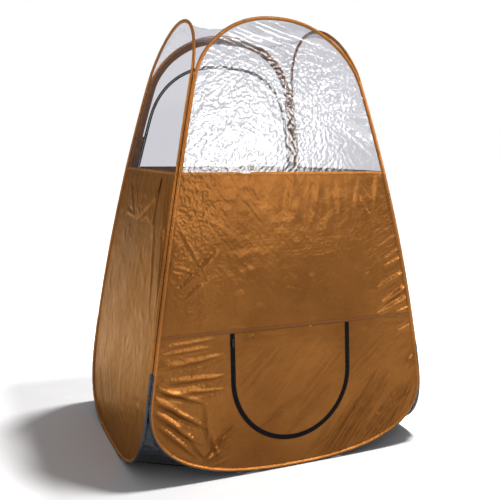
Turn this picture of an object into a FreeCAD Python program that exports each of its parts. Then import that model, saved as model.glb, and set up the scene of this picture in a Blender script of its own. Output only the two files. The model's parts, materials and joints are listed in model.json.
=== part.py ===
import FreeCAD, Part
import math
import os

from FreeCAD import Placement, Rotation, Vector

# A pop-up cabin: four sprung wire hoops, each sewn into the edge of one wall, carry fabric walls with clear
# windows, a clear roof, a floor and four corner gussets. +Z is up, the front wall faces -Y, and the origin is
# on the floor under the cabin's middle. Every wall is a shallow arc seen edge-on, so it is cut from a bow:
# the skin of a very large cylinder that lies level, parallel to the wall.

SIZES = (
    # Walls seen edge-on, from the cabin's middle
    ("wall_rise", 2000, "height over which a wall's lean is measured"),
    ("front_foot_reach", 574.6, "middle to the front or back wall at the floor"),
    ("front_lean", 7.779, "degrees"),
    ("front_bow_radius", 8771.5, "bow of the front and back walls"),
    ("side_foot_reach", 718.6, "middle to a side wall at the floor"),
    ("side_lean", 10.531, "degrees"),
    ("side_bow_radius", 12668, "bow of the side walls"),
    # Outline of the front and back hoops
    ("front_corner_top", 381, "height at which the rounded lower corners end"),
    ("front_corner_power", 2.47, "squareness of the lower corners"),
    ("front_shoulder", 1694, "height at which the arch starts"),
    ("front_arch_power", 2.25, "squareness of the arch"),
    ("front_apex", 2000, "top of the hoop"),
    # Outline of the side hoops
    ("side_corner_top", 465, "height at which the rounded lower corners end"),
    ("side_corner_power", 3.15, "squareness of the lower corners"),
    ("side_shoulder", 1728, "height at which the arch starts"),
    ("side_arch_power", 2.07, "squareness of the arch"),
    ("side_apex", 2006, "top of the hoop"),
    # Hoops
    ("wire_diameter", 5, "sprung steel wire"),
    ("ferrule_diameter", 8, "crimped tube over the wire's ends"),
    ("ferrule_bore", 5.9, ""),
    ("ferrule_length", 30, ""),
    ("sleeve_diameter", 13.4, "fabric sleeve round the wire"),
    ("sleeve_bore", 9, ""),
    ("hoop_edge_inset", 13.2, "hoop's centre-line in from the cabin's corner, along its wall"),
    ("hoop_face_inset", 2.2, "hoop's centre-line in from the wall's outer reach"),
    # Cloth
    ("cloth", 2, "thickness of a sheet"),
    ("trim", 1.4, "thickness of hems, bands and zip coils laid on a sheet"),
    ("trim_gap", 0.3, "between a sheet and the trim laid on it"),
    ("sleeve_gap", 9.2, "hoop's centre-line to the edge of the sheet it carries"),
    ("seam_gap", 0.8, "half the space between two sheets sewn edge to edge"),
    ("window_sill", 1309, "foot of every clear window"),
    ("hem_height", 12, "hem along a window's foot"),
    # Front wall
    ("seam_height", 638, "level seam across the front wall"),
    ("seam_band_foot", 634, ""),
    ("seam_band_height", 12, ""),
    ("vent_middle", -14, "vent's middle, across the front wall"),
    ("vent_radius", 284, "zip's centre-line: half its width, and the radius of its foot"),
    ("vent_arc_height", 420, "centre of the zip's rounded foot"),
    ("vent_hinge_height", 630, "line about which the flap swings"),
    # Zips
    ("tape_reach", 10, "zip's centre-line to the edge of its tape"),
    ("coil_gap", 1.2, "zip's centre-line to each coil"),
    ("coil_width", 3, ""),
    ("tape_seam", 1, "between the vent's tape and the cloth it is sewn to"),
    ("door_tape_seam", 2.5, "between the door's tape and its cloth, at the outline's straight parts"),
    # Door in the back wall
    ("door_inset", 65, "zip's centre-line in from the cabin's corner"),
    ("door_hinge_height", 120, "line about which the door falls open"),
    ("door_foot", 20, "height at which the door's outline would close"),
    ("door_corner_top", 400, "height at which the door's lower corners end"),
    ("door_shoulder", 1550, "height at which the door's arch starts"),
    ("door_arch_power", 2.6, "squareness of the door's arch"),
    ("door_apex", 1841, "top of the zip's centre-line"),
    ("zip_foot", 133, "height at which the zip's centre-line ends"),
    ("surround_sill", 1470, "foot of the clear film round the door"),
    ("arch_band_width", 26, "cloth band inside the back hoop's arch"),
    # Pocket on the left wall
    ("pocket_middle", 20, "pocket's middle, across the left wall"),
    ("pocket_width", 520, ""),
    ("pocket_foot", 1070, ""),
    ("pocket_top", 1283, ""),
    ("pocket_flap_height", 62, ""),
    ("pocket_standoff", 0.6, "space between the wall and the flat patch"),
    ("hook_length", 60, "hook and loop strips"),
    ("hook_height", 20, ""),
    ("hook_thickness", 0.8, ""),
    # Floor, gussets and roof
    ("floor_gap", 11, "hoop's centre-line to the floor's edge"),
    ("gusset_top", 250, "height at which a gusset's top edge runs between two hoops"),
    ("gusset_low", 18, "height on the hoops at which a gusset turns down to the floor"),
    ("gusset_foot", 3.4, "height of a gusset's lower edge"),
    ("gusset_gap", 14, "hoop's centre-line to a gusset's edge, along the gusset"),
    ("roof_sag", 0.30, "dip in the roof's middle, as a part of its arches' rise"),
    # Zip sliders
    ("slider_width", 9, ""),
    ("slider_length", 12, "along the zip"),
    ("slider_front", 1.6, "front plate's inner face, out from the wall's reach"),
    ("slider_plate", 1.8, "thickness of the plates"),
    ("slider_back", 4.4, "back plate's inner face, in from the wall's reach"),
    ("slider_bridge", 1, "thickness of the bridge between the coils"),
    ("pin_height", 5.9, "pull's pin, out from the wall's reach"),
    ("pin_radius", 0.75, ""),
    ("cheek_gap", 3.2, "between the two cheeks that hold the pin"),
    ("cheek_thickness", 1, ""),
    ("cheek_length", 4, "along the zip"),
    ("eye_radius", 2, ""),
    ("eye_bore", 1.1, "radius"),
    ("eye_width", 2.4, ""),
    ("tab_width", 6, ""),
    ("tab_thickness", 1.4, ""),
    ("tab_start", 4.5, "pin to the wide part of the tab"),
    ("tab_end", 26, ""),
    ("vent_slider_height", 600, "where the vent's slider is parked"),
    ("door_slider_height", 640, "where the door's slider is parked"),
)

ACROSS = 1800   # longer than any wall is wide
OUTWARD = 900   # further out than any wall

FOOT_STEPS = 9   # points round one lower corner
LEG_STEPS = 9    # points up one leg
ARCH_STEPS = 9   # points round one half of the arch
STRIP_STEPS = 40    # rows along a zip's strip
STRIP_COLUMNS = 3   # columns across it

doc = FreeCAD.newDocument("pop_up_cabin")
sheet = doc.addObject("Spreadsheet::Sheet", "sizes")
for row, (alias, value, meaning) in enumerate(SIZES, start=1):
    sheet.set(f"A{row}", alias)
    sheet.set(f"B{row}", str(value))
    sheet.set(f"C{row}", meaning)
    sheet.setAlias(f"B{row}", alias)
doc.recompute()

nodes = []


def size(alias):
    return float(sheet.get(alias))


def node(piece, label):
    """Marks a finished piece, whose label is also its file's name."""
    piece.Label = label
    nodes.append(piece)
    return piece


# Helpers: document objects whose sizes are formulas over the sheet

def bind(piece, formulas):
    for prop, formula in formulas.items():
        piece.setExpression(prop, formula)


def block(name, length, width, height, corner):
    """A box whose sides and lowest corner are formulas."""
    piece = doc.addObject("Part::Box", name)
    bind(piece, {"Length": length, "Width": width, "Height": height})
    bind(piece, {f"Placement.Base.{axis}": formula for axis, formula in zip("xyz", corner)})
    return piece


def band(name, foot, top):
    """Everything between two heights."""
    half = str(ACROSS / 2)
    return block(name, str(ACROSS), str(ACROSS), f"({top}) - ({foot})", (f"-{half}", f"-{half}", foot))


def rod(name, radius, height, place):
    piece = doc.addObject("Part::Cylinder", name)
    piece.Placement = place
    bind(piece, {"Radius": radius, "Height": height})
    return piece


def boolean(kind, name, base, tool):
    piece = doc.addObject(f"Part::{kind}", name)
    piece.Base = base
    piece.Tool = tool
    return piece


def common(name, base, tool):
    return boolean("Common", name, base, tool)


def cut(name, base, tool):
    return boolean("Cut", name, base, tool)


def fuse(name, pieces):
    piece = doc.addObject("Part::MultiFuse", name)
    piece.Shapes = pieces
    return piece


def shaped(name, shape):
    """A piece whose free-form shape is worked out below from the sheet's sizes."""
    piece = doc.addObject("Part::Feature", name)
    piece.Shape = shape
    return piece


# Walls

class Profile:
    """A wall seen edge-on: an arc that leans in from its foot to its top."""

    def __init__(self, kind):
        lean = math.radians(size(f"{kind}_lean"))
        rise = size("wall_rise")
        half_chord = rise / math.cos(lean) / 2
        self.radius = size(f"{kind}_bow_radius")
        depth = math.sqrt(self.radius ** 2 - half_chord ** 2)
        middle_reach = size(f"{kind}_foot_reach") - rise * math.tan(lean) / 2
        self.axis_reach = middle_reach - depth * math.cos(lean)
        self.axis_height = rise / 2 - depth * math.sin(lean)

    def reach(self, height, inset=0.0):
        radius = self.radius - inset
        return self.axis_reach + math.sqrt(radius ** 2 - (height - self.axis_height) ** 2)

    def outward(self, height):
        """The arc's outward direction at a height, as (reach, height)."""
        rise = (height - self.axis_height) / self.radius
        return math.sqrt(1 - rise ** 2), rise


profiles = {"front": Profile("front"), "side": Profile("side")}


class Outline:
    """An outline on a wall: rounded lower corners, legs that follow the cabin's corners, and an arch."""

    def __init__(self, legs, inset, foot, corner_top, corner_power, shoulder, arch_power, apex):
        self.legs = legs
        self.inset = inset
        self.foot = foot
        self.corner_top = corner_top
        self.corner_power = corner_power
        self.shoulder = shoulder
        self.arch_power = arch_power
        self.apex = apex

    def shrunk(self, distance):
        return Outline(self.legs, self.inset + distance, self.foot + distance, self.corner_top,
                       self.corner_power, self.shoulder, self.arch_power, self.apex - distance)

    def half_width(self, height):
        taper = 1.0
        if height < self.corner_top:
            part = (self.corner_top - height) / (self.corner_top - self.foot)
            taper = (1 - part ** self.corner_power) ** (1 / self.corner_power)
        if height > self.shoulder:
            part = (height - self.shoulder) / (self.apex - self.shoulder)
            taper = (1 - part ** self.arch_power) ** (1 / self.arch_power)
        return taper * (self.legs.reach(height) - self.inset)

    def rising_half(self):
        """Points (across, height) from the foot's middle up one side to the top."""
        heights = []
        for step in range(FOOT_STEPS):
            part = math.cos(math.pi / 2 * step / FOOT_STEPS) ** (2 / self.corner_power)
            heights.append(self.corner_top - part * (self.corner_top - self.foot))
        for step in range(LEG_STEPS):
            heights.append(self.corner_top + (self.shoulder - self.corner_top) * step / LEG_STEPS)
        for step in range(ARCH_STEPS + 1):
            part = math.sin(math.pi / 2 * step / ARCH_STEPS) ** (2 / self.arch_power)
            heights.append(self.shoulder + part * (self.apex - self.shoulder))
        return [(self.half_width(height), height) for height in heights]

    def points(self):
        rising = self.rising_half()
        falling = [(-across, height) for across, height in reversed(rising[1:-1])]
        return rising + falling


def hoop_outline(kind, legs):
    """The centre-line of a hoop."""
    radius = size("sleeve_diameter") / 2
    return Outline(profiles[legs], size("hoop_edge_inset"), radius, size(f"{kind}_corner_top"),
                   size(f"{kind}_corner_power"), size(f"{kind}_shoulder"), size(f"{kind}_arch_power"),
                   size(f"{kind}_apex") - radius)


hoops = {"front": hoop_outline("front", "side"), "side": hoop_outline("side", "front")}

# Each wall: the kind it shares its profile and outline with, and the way it faces
WALLS = {
    "front": ("front", Vector(0, -1, 0)),
    "back": ("front", Vector(0, 1, 0)),
    "left": ("side", Vector(-1, 0, 0)),
    "right": ("side", Vector(1, 0, 0)),
}


def on_wall(wall, across, reach, height):
    """The point at a distance across a wall (along +X or +Y), out from the cabin's middle, and up."""
    out = WALLS[wall][1]
    along = Vector(abs(out.y), abs(out.x), 0)
    return along * across + out * reach + Vector(0, 0, height)


def closed_wire(wall, outline):
    """An outline as it looks from outside, upright at the cabin's middle."""
    curve = Part.BSplineCurve()
    points = [on_wall(wall, across, 0, height) for across, height in outline.points()]
    curve.interpolate(Points=points, PeriodicFlag=True)
    return Part.Wire([curve.toShape()])


def outline_block(name, wall, *outlines):
    """An outline, less a smaller one if it is a ring, carried straight out through a wall."""
    wires = [closed_wire(wall, outline) for outline in outlines]
    face = Part.makeFace(wires, "Part::FaceMakerBullseye")
    return shaped(name, face.extrude(WALLS[wall][1] * OUTWARD))


def skin(wall, outer, inner, purpose):
    """A wall's bow between two layers, given as formulas for how far each lies out from the wall's reach."""
    kind, out = WALLS[wall]
    profile = profiles[kind]
    level = Rotation(Vector(0, 1, 0), 90) if out.x == 0 else Rotation(Vector(1, 0, 0), -90)
    place = Placement(on_wall(wall, -ACROSS / 2, profile.axis_reach, profile.axis_height), level)
    cylinders = []
    for face, layer in (("outer", outer), ("inner", inner)):
        radius = f"sizes.{kind}_bow_radius + ({layer})"
        cylinders.append(rod(f"{wall}_{purpose}_{face}", radius, str(ACROSS), place))
    return cut(f"{wall}_{purpose}_skin", *cylinders)


CLOTH_OUTER = "sizes.cloth / 2 - sizes.hoop_face_inset"
CLOTH_INNER = "-sizes.cloth / 2 - sizes.hoop_face_inset"
TRIM_INNER = f"{CLOTH_OUTER} + sizes.trim_gap"
TRIM_OUTER = f"{TRIM_INNER} + sizes.trim"

cloths = {}
trims = {}
for wall, (kind, out) in WALLS.items():
    inside_sleeve = outline_block(f"{wall}_outline", wall, hoops[kind].shrunk(size("sleeve_gap")))
    cloths[wall] = common(f"{wall}_cloth", skin(wall, CLOTH_OUTER, CLOTH_INNER, "cloth"), inside_sleeve)
    trims[wall] = common(f"{wall}_trim", skin(wall, TRIM_OUTER, TRIM_INNER, "trim"), inside_sleeve)

above_sill = band("above_sill", "sizes.window_sill + sizes.seam_gap", "sizes.side_apex")
sill_hem = band("sill_hem", "sizes.window_sill - sizes.hem_height / 2",
                "sizes.window_sill + sizes.hem_height / 2")
below_sill = band("below_sill", "0", "sizes.window_sill - sizes.seam_gap")

# Free-form sheets: thin closed solids between two matching grids of points

def surface_between(grid):
    surface = Part.BSplineSurface()
    surface.interpolate(grid)
    return surface


def thin_solid(outer_grid, inner_grid):
    outer = surface_between(outer_grid)
    inner = surface_between(inner_grid)
    faces = [outer.toShape(), inner.toShape()]
    low_u, high_u, low_v, high_v = outer.bounds()
    for at, curve_of in ((low_u, "uIso"), (high_u, "uIso"), (low_v, "vIso"), (high_v, "vIso")):
        edges = [getattr(surface, curve_of)(at).toShape() for surface in (outer, inner)]
        faces.append(Part.makeRuledSurface(*edges))
    shell = Part.makeShell(faces)
    shell.sewShape()
    solid = Part.makeSolid(Part.Shell(shell.Faces))
    if solid.Volume < 0:
        solid.reverse()
    return solid


# Hoops: wire, ferrule and sleeve

def tube_shell(wall, outline, radius):
    """The closed skin of a round bar that follows an outline on a wall's bow, swept in two halves."""
    profile = profiles[WALLS[wall][0]]
    inset = size("hoop_face_inset")
    line = [on_wall(wall, across, profile.reach(height, inset), height)
            for across, height in outline.points()]
    curve = Part.BSplineCurve()
    curve.interpolate(Points=line, PeriodicFlag=True)
    apex = curve.parameter(on_wall(wall, 0, profile.reach(outline.apex, inset), outline.apex))
    faces = []
    for start, end in ((curve.FirstParameter, apex), (apex, curve.LastParameter)):
        path = Part.Wire([curve.toShape(start, end)])
        section = Part.makeCircle(radius, curve.value(start), Vector(*curve.tangent(start)[0]))
        faces += path.makePipeShell([Part.Wire([section])], False, False).Faces
    skin_faces = Part.makeShell(faces)
    skin_faces.sewShape()
    solid = Part.Solid(Part.Shell(skin_faces.Faces))
    if solid.Volume < 0:
        solid.reverse()
    return solid.Shells[0]


for wall, (kind, out) in WALLS.items():
    centre_line = hoops[kind]
    wire = tube_shell(wall, centre_line, size("wire_diameter") / 2)
    node(shaped(f"wire_{wall}", Part.Solid(wire)), f"hoop_wire_{wall}")
    sleeve = tube_shell(wall, centre_line, size("sleeve_diameter") / 2)
    bore = tube_shell(wall, centre_line, size("sleeve_bore") / 2).reversed()
    hollow = Part.makeSolid(Part.makeCompound([sleeve, bore]))
    node(shaped(f"sleeve_{wall}", hollow), f"hoop_sleeve_{wall}")

    half = size("ferrule_length") / 2
    foot_reach = profiles[kind].reach(centre_line.foot, size("hoop_face_inset"))
    foot = on_wall(wall, -half, foot_reach, centre_line.foot)
    level = Rotation(Vector(0, 1, 0), 90) if out.x == 0 else Rotation(Vector(1, 0, 0), -90)
    place = Placement(foot, level)
    crimp = rod(f"crimp_{wall}", "sizes.ferrule_diameter / 2", "sizes.ferrule_length", place)
    crimp_bore = rod(f"crimp_bore_{wall}", "sizes.ferrule_bore / 2", "sizes.ferrule_length", place)
    node(cut(f"ferrule_{wall}", crimp, crimp_bore), f"hoop_ferrule_{wall}")

# Front wall: window, upper panel, seam band and lower panel with the vent's hole

def vent_block(name, spread, top):
    """A U-shaped block: the zip's centre-line, moved out by spread, carried through the front wall."""
    radius = f"sizes.vent_radius + ({spread})"
    middle = Vector(size("vent_middle"), -OUTWARD, size("vent_arc_height"))
    foot = rod(f"{name}_foot", radius, str(OUTWARD), Placement(middle, Rotation(Vector(1, 0, 0), -90)))
    legs = block(f"{name}_legs", f"2 * ({radius})", str(OUTWARD), f"({top}) - sizes.vent_arc_height",
                 (f"sizes.vent_middle - ({radius})", f"-{OUTWARD}", "sizes.vent_arc_height"))
    below_top = band(f"{name}_band", "0", top)
    return common(name, fuse(f"{name}_whole", [foot, legs]), below_top)


FLAP_TOP = "sizes.vent_hinge_height - sizes.seam_gap"
CLOTH_FROM_ZIP = "sizes.tape_reach + sizes.tape_seam"

node(common("front_film", cloths["front"], above_sill), "front_window")
node(common("front_hem", trims["front"], sill_hem), "front_window_hem")
upper_band = band("upper_band", "sizes.seam_height + sizes.seam_gap", "sizes.window_sill - sizes.seam_gap")
node(common("front_upper", cloths["front"], upper_band), "front_upper_panel")
seam_band = band("seam_band", "sizes.seam_band_foot", "sizes.seam_band_foot + sizes.seam_band_height")
node(common("front_seam", trims["front"], seam_band), "front_seam_band")

lower_band = band("lower_band", "0", "sizes.seam_height - sizes.seam_gap")
lower_cloth = common("front_lower_cloth", cloths["front"], lower_band)
vent_hole = vent_block("vent_hole", CLOTH_FROM_ZIP, "sizes.vent_hinge_height + sizes.seam_gap")
node(cut("front_lower", lower_cloth, vent_hole), "front_lower_panel")

# Vent: flap, zip tapes and coils
flap_area = vent_block("vent_flap_area", f"-({CLOTH_FROM_ZIP})", FLAP_TOP)
node(common("vent_flap_cloth", cloths["front"], flap_area), "vent_flap")


def vent_ring(name, outer, inner):
    whole = vent_block(f"{name}_outer", outer, FLAP_TOP)
    middle = vent_block(f"{name}_inner", inner, FLAP_TOP)
    return cut(name, whole, middle)


COIL_EDGE = "sizes.coil_gap + sizes.coil_width"
ZIP_RINGS = (
    ("tape_fixed", "cloth", "sizes.tape_reach", "sizes.coil_gap"),
    ("tape_moving", "cloth", "-sizes.coil_gap", "-sizes.tape_reach"),
    ("coil_fixed", "trim", COIL_EDGE, "sizes.coil_gap"),
    ("coil_moving", "trim", "-sizes.coil_gap", f"-({COIL_EDGE})"),
)
for piece_name, layer, outer, inner in ZIP_RINGS:
    sheet_of_layer = cloths["front"] if layer == "cloth" else trims["front"]
    ring = vent_ring(f"vent_{piece_name}_ring", outer, inner)
    node(common(f"vent_{piece_name}", sheet_of_layer, ring), f"vent_zip_{piece_name}")

# Side walls
for wall in ("left", "right"):
    node(common(f"{wall}_film", cloths[wall], above_sill), f"{wall}_window")
    node(common(f"{wall}_hem", trims[wall], sill_hem), f"{wall}_window_hem")
    node(common(f"{wall}_lower", cloths[wall], below_sill), f"{wall}_panel")

# Pocket on the left wall: patch, flap, hook strip and loop strip, in layers out from the wall

def pocket_layer(name, inner, thickness, width, foot, top):
    """A sheet that follows the left wall's bow, with its inner face at a layer."""
    layer = skin("left", f"({inner}) + ({thickness})", inner, name)
    area = block(f"{name}_area", str(OUTWARD), width, f"({top}) - ({foot})",
                 (f"-{OUTWARD}", f"sizes.pocket_middle - ({width}) / 2", foot))
    return common(f"{name}_sheet", layer, area)


PATCH_INNER = f"{CLOTH_OUTER} + sizes.pocket_standoff"
LOOP_INNER = f"{PATCH_INNER} + sizes.cloth + sizes.trim_gap"
HOOK_INNER = f"{LOOP_INNER} + sizes.hook_thickness + sizes.trim_gap"
FLAP_INNER = f"{HOOK_INNER} + sizes.hook_thickness + sizes.trim_gap"
STRIP_FOOT = "sizes.pocket_top - sizes.pocket_flap_height + sizes.hook_height / 2"

node(pocket_layer("patch", PATCH_INNER, "sizes.cloth", "sizes.pocket_width", "sizes.pocket_foot",
                  "sizes.pocket_top"), "pocket_patch")
node(pocket_layer("flap", FLAP_INNER, "sizes.trim", "sizes.pocket_width",
                  "sizes.pocket_top - sizes.pocket_flap_height", "sizes.pocket_top"), "pocket_flap")
for strip, inner in (("loop", LOOP_INNER), ("hook", HOOK_INNER)):
    node(pocket_layer(strip, inner, "sizes.hook_thickness", "sizes.hook_length", STRIP_FOOT,
                      f"{STRIP_FOOT} + sizes.hook_height"), f"pocket_{strip}_strip")

# Back wall: the door's outline is concentric with the hoop
door_line = Outline(profiles["side"], size("door_inset"), size("door_foot"), size("door_corner_top"),
                    size("front_corner_power"), size("door_shoulder"), size("door_arch_power"),
                    size("door_apex"))
door_edge = size("tape_reach") + size("door_tape_seam")
above_door_hinge = band("above_door_hinge", "sizes.door_hinge_height + sizes.seam_gap", "sizes.side_apex")


def door_block(name, *spreads):
    """The zip's centre-line, moved out by each spread, carried through the back wall."""
    return outline_block(name, "back", *(door_line.shrunk(-spread) for spread in spreads))


back_hole = door_block("door_hole", door_edge)
surround = cut("back_surround_cloth", common("back_above_hinge", cloths["back"], above_door_hinge), back_hole)
above_surround_sill = band("above_surround_sill", "sizes.surround_sill + sizes.seam_gap", "sizes.side_apex")
upper_surround = common("upper_surround", surround, above_surround_sill)
band_edge = size("sleeve_gap") + size("arch_band_width")
film_area = outline_block("film_area", "back", hoops["front"].shrunk(band_edge + 2 * size("seam_gap")))
node(common("back_film", upper_surround, film_area), "back_window_surround")
inside_band = outline_block("inside_band", "back", hoops["front"].shrunk(band_edge))
node(cut("arch_band", upper_surround, inside_band), "back_arch_band")

SURROUND_HEIGHT = "sizes.surround_sill - sizes.door_hinge_height - 2 * sizes.seam_gap"
for side, low_x in (("left", f"-{OUTWARD}"), ("right", "0")):
    half = block(f"back_{side}_half", str(OUTWARD), str(OUTWARD), SURROUND_HEIGHT,
                 (low_x, "0", "sizes.door_hinge_height + sizes.seam_gap"))
    node(common(f"back_{side}_cloth", surround, half), f"back_{side}_panel")
below_door = band("below_door", "0", "sizes.door_hinge_height - sizes.seam_gap")
node(common("back_sill", cloths["back"], below_door), "back_sill_panel")

inside_door = door_block("inside_door", -door_edge)
door_cloth = common("door_cloth", common("door_sheet", cloths["back"], inside_door), above_door_hinge)
node(common("door_lower", door_cloth, below_sill), "door_panel")
node(common("door_film", door_cloth, above_sill), "door_window")
node(common("door_hem", common("door_trim", trims["back"], inside_door), sill_hem), "door_window_hem")


def door_strip(name, inner_layer, thickness, near, far):
    """A strip that runs along the door's zip, between two distances out from the zip's centre-line."""
    foot = size("zip_foot")
    rising = [(door_line.half_width(foot), foot)]
    rising += [point for point in door_line.rising_half() if point[1] > foot + size("tape_reach")]
    points = [Vector(across, height, 0) for across, height in rising]
    points += [Vector(-across, height, 0) for across, height in reversed(rising[:-1])]
    curve = Part.BSplineCurve()
    curve.interpolate(Points=points)
    grids = []
    for layer in (inner_layer, inner_layer + thickness):
        grid = []
        for step in range(STRIP_STEPS + 1):
            at = curve.FirstParameter + (curve.LastParameter - curve.FirstParameter) * step / STRIP_STEPS
            middle = curve.value(at)
            along = Vector(*curve.tangent(at)[0])
            row = []
            for column in range(STRIP_COLUMNS + 1):
                spread = near + (far - near) * column / STRIP_COLUMNS
                height = middle.y - along.x * spread
                reach = profiles["front"].reach(height, -layer)
                row.append(on_wall("back", middle.x + along.y * spread, reach, height))
            grid.append(row)
        grids.append(grid)
    return shaped(name, thin_solid(*grids))


cloth_inner = -size("cloth") / 2 - size("hoop_face_inset")
trim_inner = cloth_inner + size("cloth") + size("trim_gap")
tape_span = (size("coil_gap"), size("tape_reach"))
coil_span = (size("coil_gap"), size("coil_gap") + size("coil_width"))
for half, sign in (("fixed", 1), ("moving", -1)):
    tape = door_strip(f"door_tape_{half}", cloth_inner, size("cloth"), *(sign * edge for edge in tape_span))
    node(tape, f"door_zip_tape_{half}")
    coil = door_strip(f"door_coil_{half}", trim_inner, size("trim"), *(sign * edge for edge in coil_span))
    node(coil, f"door_zip_coil_{half}")

# Zip sliders and their pull tabs

def zip_place(wall, leg, height):
    """A slider's own frame: X towards the moving half of the zip, Y out of the wall, Z down the zip."""
    profile = profiles[WALLS[wall][0]]
    level, rise = profile.outward(height)
    out = WALLS[wall][1] * level + Vector(0, 0, rise)
    above, here, below = (on_wall(wall, leg(at), profile.reach(at), at)
                          for at in (height + 1, height, height - 1))
    down = (below - above).normalize()
    return Placement(here, Rotation(out.cross(down), out, down, "YZX"))


def zip_box(name, frame, length, width, height, corner):
    piece = doc.addObject("Part::Box", name)
    bind(piece, {"Length": length, "Width": width, "Height": height})
    piece.Placement = frame.multiply(Placement(Vector(*corner), Rotation()))
    return piece


def slider_and_pull(zip_name, frame):
    half_width = size("slider_width") / 2
    half_length = size("slider_length") / 2
    front = size("slider_front")
    plate = size("slider_plate")
    back = -size("slider_back")
    bridge = size("slider_bridge") / 2
    cheek = size("cheek_gap") / 2
    cheek_depth = size("pin_height") + 2 * size("pin_radius") - front - plate
    across_pin = Rotation(Vector(0, 1, 0), 90)

    pieces = [
        zip_box(f"{zip_name}_front_plate", frame, "sizes.slider_width", "sizes.slider_plate",
                "sizes.slider_length", (-half_width, front, -half_length)),
        zip_box(f"{zip_name}_back_plate", frame, "(sizes.slider_width + sizes.slider_bridge) / 2",
                "sizes.slider_plate", "sizes.slider_length", (-bridge, back - plate, -half_length)),
        zip_box(f"{zip_name}_bridge", frame, "sizes.slider_bridge",
                "sizes.slider_front + sizes.slider_back", "sizes.slider_length / 3",
                (-bridge, back, -half_length)),
    ]
    for edge, low in (("near", -cheek - size("cheek_thickness")), ("far", cheek)):
        cheek_piece = zip_box(f"{zip_name}_{edge}_cheek", frame, "sizes.cheek_thickness", str(cheek_depth),
                              "sizes.cheek_length", (low, front + plate, -size("cheek_length") / 2))
        pieces.append(cheek_piece)
    pin_half = cheek + size("cheek_thickness") / 2
    pin_place = frame.multiply(Placement(Vector(-pin_half, size("pin_height"), 0), across_pin))
    pieces.append(rod(f"{zip_name}_pin", "sizes.pin_radius", str(2 * pin_half), pin_place))
    node(fuse(f"{zip_name}_slider", pieces), f"{zip_name}_zip_slider")

    eye_half = size("eye_width") / 2
    eye_place = frame.multiply(Placement(Vector(-eye_half, size("pin_height"), 0), across_pin))
    eye = rod(f"{zip_name}_eye", "sizes.eye_radius", "sizes.eye_width", eye_place)
    low_face = size("pin_height") - size("tab_thickness") / 2
    neck = zip_box(f"{zip_name}_neck", frame, "sizes.eye_width", "sizes.tab_thickness", "sizes.tab_start",
                   (-eye_half, low_face, size("eye_bore")))
    tab = zip_box(f"{zip_name}_tab", frame, "sizes.tab_width", "sizes.tab_thickness",
                  "sizes.tab_end - sizes.tab_start", (-size("tab_width") / 2, low_face, size("tab_start")))
    eye_bore = rod(f"{zip_name}_eye_bore", "sizes.eye_bore", "sizes.eye_width", eye_place)
    node(cut(f"{zip_name}_pull", fuse(f"{zip_name}_pull_blank", [eye, neck, tab]), eye_bore),
         f"{zip_name}_zip_pull")


def vent_left_leg(height):
    return size("vent_middle") - size("vent_radius")


slider_and_pull("vent", zip_place("front", vent_left_leg, size("vent_slider_height")))
slider_and_pull("door", zip_place("back", door_line.half_width, size("door_slider_height")))

# Floor: a level sheet inside the hoops, its corners cut off where the gussets come down
floor_gap = size("floor_gap")
low = size("gusset_low")
floor_x = profiles["side"].reach(0, size("hoop_face_inset")) - floor_gap
floor_y = profiles["front"].reach(0, size("hoop_face_inset")) - floor_gap
cut_x = hoops["front"].half_width(low)
cut_y = hoops["side"].half_width(low)
corners = []
for across, along in ((1, 1), (-1, 1), (-1, -1), (1, -1)):
    ends = [Vector(across * floor_x, along * cut_y, 0), Vector(across * cut_x, along * floor_y, 0)]
    corners += ends if across * along > 0 else reversed(ends)
floor_face = Part.Face(Part.makePolygon(corners + corners[:1]))
node(shaped("floor", floor_face.extrude(Vector(0, 0, size("cloth")))), "floor_sheet")


# Gussets: straight lines between neighbouring hoops

GUSSET_ROWS = 9
GUSSET_COLUMNS = 4


def gusset_grid(side_x, side_y, depth):
    """Straight lines between a front or back hoop and a side hoop, from the top edge down to the floor."""
    edge_gap = size("gusset_gap")
    inset = size("hoop_face_inset")
    inward = Vector(-side_x, -side_y, 0).normalize() * depth
    rows = []
    for step in range(GUSSET_ROWS + 1):
        drop = math.sin(math.pi / 2 * min(step, GUSSET_ROWS - 1) / (GUSSET_ROWS - 1))
        height = size("gusset_top") - drop * (size("gusset_top") - low)
        start = Vector(side_x * hoops["front"].half_width(height),
                       side_y * profiles["front"].reach(height, inset), height)
        end = Vector(side_x * profiles["side"].reach(height, inset),
                     side_y * hoops["side"].half_width(height), height)
        along = (end - start).normalize()
        if step == GUSSET_ROWS:
            start.z = end.z = size("gusset_foot")
        start += along * edge_gap + inward
        end += along * -edge_gap + inward
        step_across = (end - start) * (1 / GUSSET_COLUMNS)
        rows.append([start + step_across * column for column in range(GUSSET_COLUMNS + 1)])
    return rows


for front_or_back, side_y in (("front", -1), ("back", 1)):
    for left_or_right, side_x in (("left", -1), ("right", 1)):
        corner = f"{front_or_back}_{left_or_right}"
        gusset = thin_solid(gusset_grid(side_x, side_y, 0), gusset_grid(side_x, side_y, size("cloth")))
        node(shaped(f"gusset_{corner}", gusset), f"corner_gusset_{corner}")

ROOF_STEPS = 8
DIP_POWER = 0.6   # below 1, the roof falls off quickly beside the arches


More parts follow.
